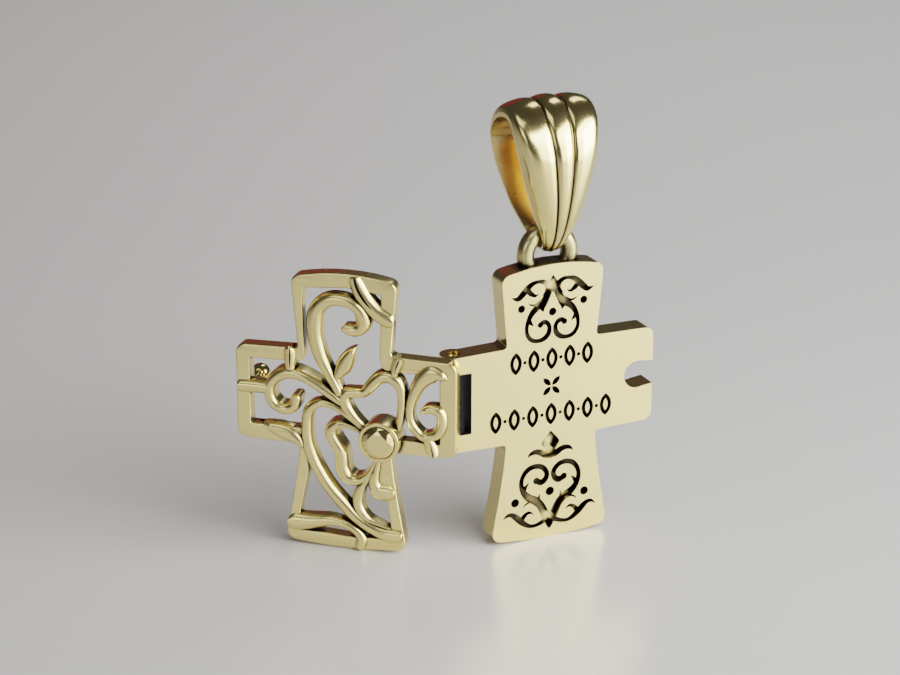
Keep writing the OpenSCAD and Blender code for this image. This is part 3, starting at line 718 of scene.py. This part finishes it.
def engraved_plate():
    plate = solid_outline("engraved_plate", [rounded(cross_corners())], -PLATE_T, 0, 0)
    combine(plate, box(-FAR, -HINGE_X, -FAR, FAR, -THROUGH, THROUGH), "DIFFERENCE")
    combine(plate, box(-FAR, SLOT_END, -SLOT_HALF, SLOT_HALF, -THROUGH, THROUGH), "DIFFERENCE")
    combine(plate, cylinder(NOTCH_R, -THROUGH, THROUGH, (NOTCH_X, NOTCH_Z), 72), "DIFFERENCE")
    upper_lip = [(NOTCH_X, NOTCH_Z + NOTCH_R - NEAR), (ARM_REACH + 1, NOTCH_Z + LIP_TOP)]
    lower_lip = [(NOTCH_X, NOTCH_Z - NOTCH_R + NEAR), (ARM_REACH + 1, NOTCH_Z - LIP_LOW)]
    combine(plate, prism("lips", upper_lip, lower_lip, -THROUGH, THROUGH), "DIFFERENCE")
    for end in (-1, 1):
        z0, z1 = sorted((end * SLOT_HALF, end * KNUCKLE_END))
        combine(plate, place(cylinder(KNUCKLE_R, z0, z1), PIN_AXES), "UNION")
    soften_edges(plate, EDGE_R)
    combine(plate, suspension_ring(), "UNION")
    combine(plate, place(cylinder(PIN_HOLE_R, -PIN_WAY, PIN_WAY), PIN_AXES), "DIFFERENCE")
    combine(plate, place(cylinder(PIN_HEAD_R, KNUCKLE_END - PIN_HEAD_T, PIN_WAY), PIN_AXES), "DIFFERENCE")
    engrave(plate)
    dress(plate, PLATE_GOLD, SLOT_SHADE_BLACK, RING_GOLD_SHADED)
    # Painted shade: the ring and the head's top faces beside it take the darker ring gold
    for f in plate.data.polygons:
        x, y, _ = f.center
        shaded_by_ring = f.normal.y > 0.7 and abs(x) < RING_R + WIRE_R and y > HEAD_TOP - CROWN_FALL
        if y > HEAD_TOP + NEAR or shaded_by_ring:
            f.material_index = 2
        # The slot's walls are painted black for the shade inside the slot
        if x < SLOT_END + SLOT_RIM and abs(y) < SLOT_HALF + SLOT_RIM and abs(f.normal.z) < FACING:
            f.material_index = 1
    place(plate, TO_FRAME @ PLATE_AXES)
    even_shading(plate)
    return plate


# Bail: a loop of sections round the chain's way, each with three ribs outside
RING_Y = PLATE_T / 2 + 0.2
RING_Z = 12.4
RING_R = 2.11
WIRE_R = 0.73
WIRE_FLAT = 0.08
RING_SINK = 1
# How far the head's arched top falls beside the ring
CROWN_FALL = 0.3
SWING_Z = 14.45
BAIL_LEAN = 0.035
BAIL_MID_Z = 21
BAIL_RISE = 5.55
BAIL_DROP = 8.4
BAIL_FRONT = 3.84
BAIL_BACK = 4.45
FRONT_WALL = 1.45
BACK_WALL = 0.75
TOP_WALL = 1.55
BOTTOM_WALL = 1.02
RIB_DROP = 0.26
GROOVE_DROP = 0.26
EDGE_DROP = 0.12
# How near a rib's arch comes to a half ellipse, which is 1
RIB_ARCH = 0.98
# Share of the ribs' width that the middle rib takes
MIDDLE_RIB = 0.3
# Half width of the three ribs: at the height they start from, its growth per height, and its share at most
RIB_FROM_Z = 12.8
RIB_START = 0.65
RIB_GROWTH = 0.2225
RIB_MOST = 0.92
# How far the sides turn in at the front, and how far the bail is hollowed where the ring hangs,
# each with the power by which it fades round the loop
EDGE_IN = 0.8
EDGE_IN_FADE = 2.5
SADDLE = 0.55
SADDLE_FADE = 3
SADDLE_REACH = 1.2
BAIL_TURNS = 120
RIB_POINTS = 60
# Half width of the bail over its height: (z, half width)
BAIL_WIDTHS = [
    (12.6, 0.65), (14, 1.15), (16, 2.05), (20, 3.2), (23, 3.8), (24.3, 3.95), (26.6, 4.02),
]
# The way round a bail's edge: (share from rib to edge, share of the wall, share of the inward turn)
BAIL_EDGE = [
    (0.25, 0.6, 0.15), (0.55, 0.53, 0.38), (0.8, 0.38, 0.62), (0.9, 0.3, 0.75), (0.97, 0.26, 0.84),
    (1, 0.16, 0.92), (0.98, 0.04, 1), (0.93, 0, 1),
]


def lookup(x, rows):
    for (x0, y0), (x1, y1) in zip(rows, rows[1:]):
        if x <= x1:
            return y0 + (y1 - y0) * max(0, x - x0) / (x1 - x0)
    return rows[-1][1]


def loop_point(a, front, back, up, down):
    z = BAIL_MID_Z + (up if sin(a) > 0 else down) * sin(a)
    return Vector((RING_Y + BAIL_LEAN * (z - SWING_Z) + (front if cos(a) < 0 else back) * cos(a), z))


def rib_rise(v):
    outer = (2 * abs(v) - 1 - MIDDLE_RIB) / (1 - MIDDLE_RIB)
    q = v / MIDDLE_RIB if abs(v) < MIDDLE_RIB else outer
    drop = EDGE_DROP if abs(v) > MIDDLE_RIB and outer > 0 else GROOVE_DROP
    return 1 - RIB_DROP * v * v - drop * (1 - sqrt(1 - RIB_ARCH * q * q))


def bail_section(a):
    outer = loop_point(a, BAIL_FRONT, BAIL_BACK, BAIL_RISE, BAIL_DROP)
    inner = loop_point(
        a, BAIL_FRONT - FRONT_WALL, BAIL_BACK - BACK_WALL, BAIL_RISE - TOP_WALL, BAIL_DROP - BOTTOM_WALL
    )
    wall = outer - inner
    mid_z = (outer[1] + inner[1]) / 2
    width = lookup(mid_z, BAIL_WIDTHS)
    rib = min((RIB_START + RIB_GROWTH * (mid_z - RIB_FROM_Z)) / (3 * MIDDLE_RIB), RIB_MOST * width)
    turn = EDGE_IN * max(0, -cos(a)) ** EDGE_IN_FADE
    low = SADDLE * max(0, -sin(a)) ** SADDLE_FADE
    points = []
    for k in range(RIB_POINTS + 1):
        v = 2 * k / RIB_POINTS - 1
        y, z = inner + wall * rib_rise(v)
        points.append((v * rib, y, z))
    edge = [(0, rib_rise(1), 0)] + BAIL_EDGE
    fine = curve_rows(edge, 3)[1:]
    for side, rows in ((1, fine), (-1, fine[::-1])):
        for out, share, inward in rows:
            share += low * (1 - share) * min(1, SADDLE_REACH * out)
            y, z = inner + wall * share
            points.append((side * (rib + (width - rib) * out), y + inward * turn, z))
        if side > 0:
            points.append((0, *inner))
    return points


def fluted_bail():
    rings = [bail_section(2 * pi * k / BAIL_TURNS) for k in range(BAIL_TURNS)]
    n = len(rings[0])
    faces = []
    for i in range(BAIL_TURNS):
        j = (i + 1) % BAIL_TURNS
        faces += [(i * n + k, i * n + (k + 1) % n, j * n + (k + 1) % n, j * n + k) for k in range(n)]
    bail = mesh_object("fluted_bail", [p for ring in rings for p in ring], faces)
    dress(bail, BAIL_GOLD, BAIL_INSIDE_SHADED)
    # The flat inner face lies on both sides of the section's inner middle point
    middle = (RIB_POINTS + n) // 2 + 1
    # The flat inner face takes the bail's painted inner shade
    for k, f in enumerate(bail.data.polygons):
        f.material_index = int(k % n in (middle - 1, middle))
    place(bail, TO_FRAME)
    smooth(bail, 40)
    return bail


# Finishes, with the scales of their noise per metre
WEAR_SCALE = 900
GRAIN_SCALE = 7000
MOTTLE_SCALE = 1500
WEAR_ROUGHNESS = (0.8, 1.25)
WORN_TINT = 0.92
DARK_SHADE = 0.62
CAST_GOLD = (0.92, 0.736, 0.331)


def gold(name, colour, roughness, painted_shade=0.0, reach=0.5, grain=0.0, dark=(0.006, 0.005, 0.004), unshaded=0.96):
    """Pale gold with fine wear and casting grain, and painted shade: darker towards the dark colour where
    ambient occlusion finds the metal shaded within reach (millimetres).

    Metal that is at least as open as the last argument has no painted shade, and metal no more open than
    DARK_SHADE has all of it."""
    mat = bpy.data.materials.new(name)
    mat.use_nodes = True
    nodes, links = mat.node_tree.nodes, mat.node_tree.links
    shader = nodes["Principled BSDF"]
    shader.inputs["Metallic"].default_value = 1.0
    coords = nodes.new("ShaderNodeTexCoord")
    wear = nodes.new("ShaderNodeTexNoise")
    wear.inputs["Scale"].default_value = WEAR_SCALE
    wear.inputs["Detail"].default_value = 4
    links.new(coords.outputs["Object"], wear.inputs["Vector"])
    rough = nodes.new("ShaderNodeMapRange")
    rough.inputs["To Min"].default_value = roughness * WEAR_ROUGHNESS[0]
    rough.inputs["To Max"].default_value = roughness * WEAR_ROUGHNESS[1]
    links.new(wear.outputs["Fac"], rough.inputs["Value"])
    links.new(rough.outputs["Result"], shader.inputs["Roughness"])
    if grain:
        cast = nodes.new("ShaderNodeTexNoise")
        cast.inputs["Scale"].default_value = GRAIN_SCALE
        cast.inputs["Detail"].default_value = 3
        links.new(coords.outputs["Object"], cast.inputs["Vector"])
        bump = nodes.new("ShaderNodeBump")
        bump.inputs["Distance"].default_value = grain * MM
        links.new(cast.outputs["Fac"], bump.inputs["Height"])
        links.new(bump.outputs["Normal"], shader.inputs["Normal"])
    tint = nodes.new("ShaderNodeMix")
    tint.data_type = "RGBA"
    tint.inputs[6].default_value = (*colour, 1)
    tint.inputs[7].default_value = (*[c * WORN_TINT for c in colour], 1)
    links.new(wear.outputs["Fac"], tint.inputs["Factor"])
    last = tint.outputs[2]
    # Painted shade in hollows, joints and gaps, as far as the AO node's reach
    if painted_shade:
        shade = nodes.new("ShaderNodeAmbientOcclusion")
        shade.inputs["Distance"].default_value = reach * MM
        shade.samples = 16
        shade.only_local = True
        curve = nodes.new("ShaderNodeMapRange")
        curve.inputs["From Min"].default_value = DARK_SHADE
        curve.inputs["From Max"].default_value = unshaded
        curve.inputs["To Min"].default_value = 1 - painted_shade
        links.new(shade.outputs["AO"], curve.inputs["Value"])
        mix = nodes.new("ShaderNodeMix")
        mix.data_type = "RGBA"
        mix.inputs[6].default_value = (*dark, 1)
        links.new(curve.outputs["Result"], mix.inputs["Factor"])
        links.new(last, mix.inputs[7])
        last = mix.outputs[2]
    links.new(last, shader.inputs["Base Color"])
    return mat


def painted_slot_shade(name):
    """Black metal with a faint mottle, painted where the hinge's slot lies in shade."""
    mat = bpy.data.materials.new(name)
    mat.use_nodes = True
    nodes, links = mat.node_tree.nodes, mat.node_tree.links
    shader = nodes["Principled BSDF"]
    shader.inputs["Metallic"].default_value = 0.3
    shader.inputs["Roughness"].default_value = 0.5
    shader.inputs["Specular IOR Level"].default_value = 0.15
    coords = nodes.new("ShaderNodeTexCoord")
    mottle = nodes.new("ShaderNodeTexNoise")
    mottle.inputs["Scale"].default_value = MOTTLE_SCALE
    links.new(coords.outputs["Object"], mottle.inputs["Vector"])
    mix = nodes.new("ShaderNodeMix")
    mix.data_type = "RGBA"
    mix.inputs[6].default_value = (0.004, 0.005, 0.007, 1)
    mix.inputs[7].default_value = (0.02, 0.017, 0.012, 1)
    links.new(mottle.outputs["Fac"], mix.inputs["Factor"])
    links.new(mix.outputs[2], shader.inputs["Base Color"])
    return mat


def floor_finish():
    mat = bpy.data.materials.new("pale_floor")
    mat.use_nodes = True
    shader = mat.node_tree.nodes["Principled BSDF"]
    shader.inputs["Base Color"].default_value = (0.68, 0.675, 0.665, 1)
    shader.inputs["Roughness"].default_value = 0.28
    return mat


def dress(obj, *finishes):
    if len(obj.data.materials):
        obj.data.materials.clear()
    for mat in finishes:
        obj.data.materials.append(mat)


# Gold finishes: after the roughness come the strength and the reach (millimetres) of the painted shade
PLATE_GOLD = gold("plate_gold", CAST_GOLD, 0.2, 0.98, 0.75)
COVER_GOLD = gold("cover_gold", CAST_GOLD, 0.25, 0.95, 0.6, 0.0002, unshaded=0.88)
BAIL_GOLD = gold("bail_gold", CAST_GOLD, 0.17, 0.95, 0.5)
# Inside of the bail: painted shade, dark orange-brown over a 7 mm reach, for the shade inside the loop
BAIL_INSIDE_SHADED = gold("bail_inside_shaded", (0.92, 0.70, 0.31), 0.28, 0.94, 7, 0.0, (0.16, 0.08, 0.03))
# Ring: a darker copy of the gold with painted shade over a 2.2 mm reach, for the shade it sits in under the
# bail
RING_GOLD_SHADED = gold("ring_gold_shaded", (0.71, 0.59, 0.29), 0.28, 0.97, 2.2)
SLOT_SHADE_BLACK = painted_slot_shade("slot_shade_black")
BALL_GOLD = gold("ball_gold", CAST_GOLD, 0.07, 0.85, 0.3)
STONE_GOLD = gold("stone_gold", (0.88, 0.70, 0.31), 0.13, 0.95, 0.3)
PIN_GOLD = gold("pin_gold", (0.90, 0.70, 0.31), 0.15)


def pieces():
    cover = front_cover()
    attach(cover, "cover")
    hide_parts("front_cover")
    bail = fluted_bail()
    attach(bail, "bail")
    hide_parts("bail")
    plate = engraved_plate()
    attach(plate, "pendant")
    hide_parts("back_plate")
    stone = cut_stone()
    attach(stone, "cover")
    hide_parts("stone")
    dress(stone, STONE_GOLD)
    dress(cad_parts["hinge_pin"], PIN_GOLD)


# Floor, camera and lights, in metres
HEART = Vector((-0.006, 0.003, -0.02))
FLOOR_Z = (-FOOT_DROP - SEAT_Z) * MM
FLOOR_SIZE = 4
GLOW_H = 0.12
CAMERA_LENS = 116.38
CAMERA_FILM = 36
CAMERA_CLIP = (0.01, 10)
# The camera's axes in the frame, and its place in the plate's millimetres
CAMERA_RIGHT = Vector((0.9096199, -0.4154344, 0.0024350))
CAMERA_UP = Vector((0.1473472, 0.3280951, 0.9330822))
CAMERA_AHEAD = Vector((0.3884333, 0.8483914, -0.3596549))
CAMERA_AT = Vector((-106.934, -212.084, 96.410))
# A dim studio, and dark red far behind the part: its azimuth and elevation, and the width of its soft edge
STUDIO_TONE = (0.045, 0.045, 0.042, 1)
RED_TONE = (0.15, 0.03, 0.03, 1)
RED_AT = (6, 16)
RED_OUTER = 20
RED_INNER = 12


def stage():
    deselect()
    bpy.ops.mesh.primitive_plane_add(size=FLOOR_SIZE, location=(0, 0, FLOOR_Z))
    floor = bpy.context.object
    bpy.ops.object.transform_apply(location=True, rotation=True, scale=True)
    floor.name = "floor"
    dress(floor, floor_finish())


def camera():
    data = bpy.data.cameras.new("camera")
    data.lens = CAMERA_LENS
    data.sensor_width = CAMERA_FILM
    data.clip_start, data.clip_end = CAMERA_CLIP
    cam = bpy.data.objects.new("camera", data)
    bpy.context.scene.collection.objects.link(cam)
    axes = Matrix((CAMERA_RIGHT, CAMERA_UP, -CAMERA_AHEAD)).transposed().to_4x4()
    cam.matrix_world = TO_FRAME @ Matrix.Translation(CAMERA_AT) @ axes
    cam.scale = (1, 1, 1)
    bpy.context.scene.camera = cam


def toward(azimuth, elevation, distance):
    """A place seen from the part: azimuth 0 is behind it and 90 on its right."""
    a, e = radians(azimuth), radians(elevation)
    return Vector((sin(a) * cos(e), cos(a) * cos(e), sin(e))) * distance + HEART


def softbox(name, azimuth, elevation, distance, size, radiance, colour=(1, 1, 1), upright=False):
    """A flat light that faces the part, as bright all over as radiance says."""
    data = bpy.data.lights.new(name, "AREA")
    data.shape, data.size, data.size_y = "RECTANGLE", size[0], size[1]
    data.energy, data.color = radiance * pi * size[0] * size[1], colour
    obj = bpy.data.objects.new(name, data)
    at = toward(azimuth, elevation, distance)
    aim = HEART - at
    if upright:
        aim.z = 0
    obj.matrix_world = Matrix.Translation(at) @ aim.to_track_quat("-Z", "Y").to_matrix().to_4x4()
    bpy.context.scene.collection.objects.link(obj)
    return obj


def floor_glow(name, at, size, radiance):
    """A light that hangs over the floor at (x, y), and that the metal does not mirror."""
    glow = softbox(name, 0, 0, 1, (size, size), radiance)
    glow.matrix_world = Matrix.Translation((at[0], at[1], FLOOR_Z + GLOW_H))
    glow.visible_glossy = False


def lights():
    world = bpy.data.worlds.new("studio")
    world.use_nodes = True
    bpy.context.scene.world = world
    nodes, links = world.node_tree.nodes, world.node_tree.links
    way = nodes.new("ShaderNodeTexCoord")
    corner = nodes.new("ShaderNodeVectorMath")
    corner.operation = "DOT_PRODUCT"
    corner.inputs[1].default_value = toward(*RED_AT, 1) - HEART
    near = nodes.new("ShaderNodeMapRange")
    near.interpolation_type = "SMOOTHSTEP"
    near.inputs["From Min"].default_value = cos(radians(RED_OUTER))
    near.inputs["From Max"].default_value = cos(radians(RED_INNER))
    mix = nodes.new("ShaderNodeMix")
    mix.data_type = "RGBA"
    mix.inputs[6].default_value = STUDIO_TONE
    mix.inputs[7].default_value = RED_TONE
    links.new(way.outputs["Generated"], corner.inputs[0])
    links.new(corner.outputs["Value"], near.inputs["Value"])
    links.new(near.outputs["Result"], mix.inputs["Factor"])
    links.new(mix.outputs[2], nodes["Background"].inputs["Color"])
    softbox("front_high", 150, 34, 0.4, (0.55, 0.12), 7.5, upright=True)
    softbox("front_middle", 150, 22.5, 0.4, (0.52, 0.05), 5.5, upright=True).visible_diffuse = False
    softbox("front_low", 150, 9, 0.4, (0.5, 0.14), 4.3, upright=True)
    softbox("far_right", 132, 10, 0.8, (0.55, 0.5), 8)
    softbox("back_right", 50, 50, 0.8, (0.17, 0.45), 2.6)
    softbox("left", -122, 16, 0.7, (0.3, 0.3), 1.6).visible_diffuse = False
    softbox("high_left", 232, 56, 0.7, (0.5, 0.3), 1.35, (0.96, 1, 0.93)).visible_diffuse = False
    floor_glow("glow_right", (0.038, -0.055), 0.1, 3.2)
    floor_glow("glow_back", (0.1, 0.16), 0.2, 0.9)


pieces()
stage()
camera()
lights()
bpy.context.scene.view_settings.view_transform = "Filmic"
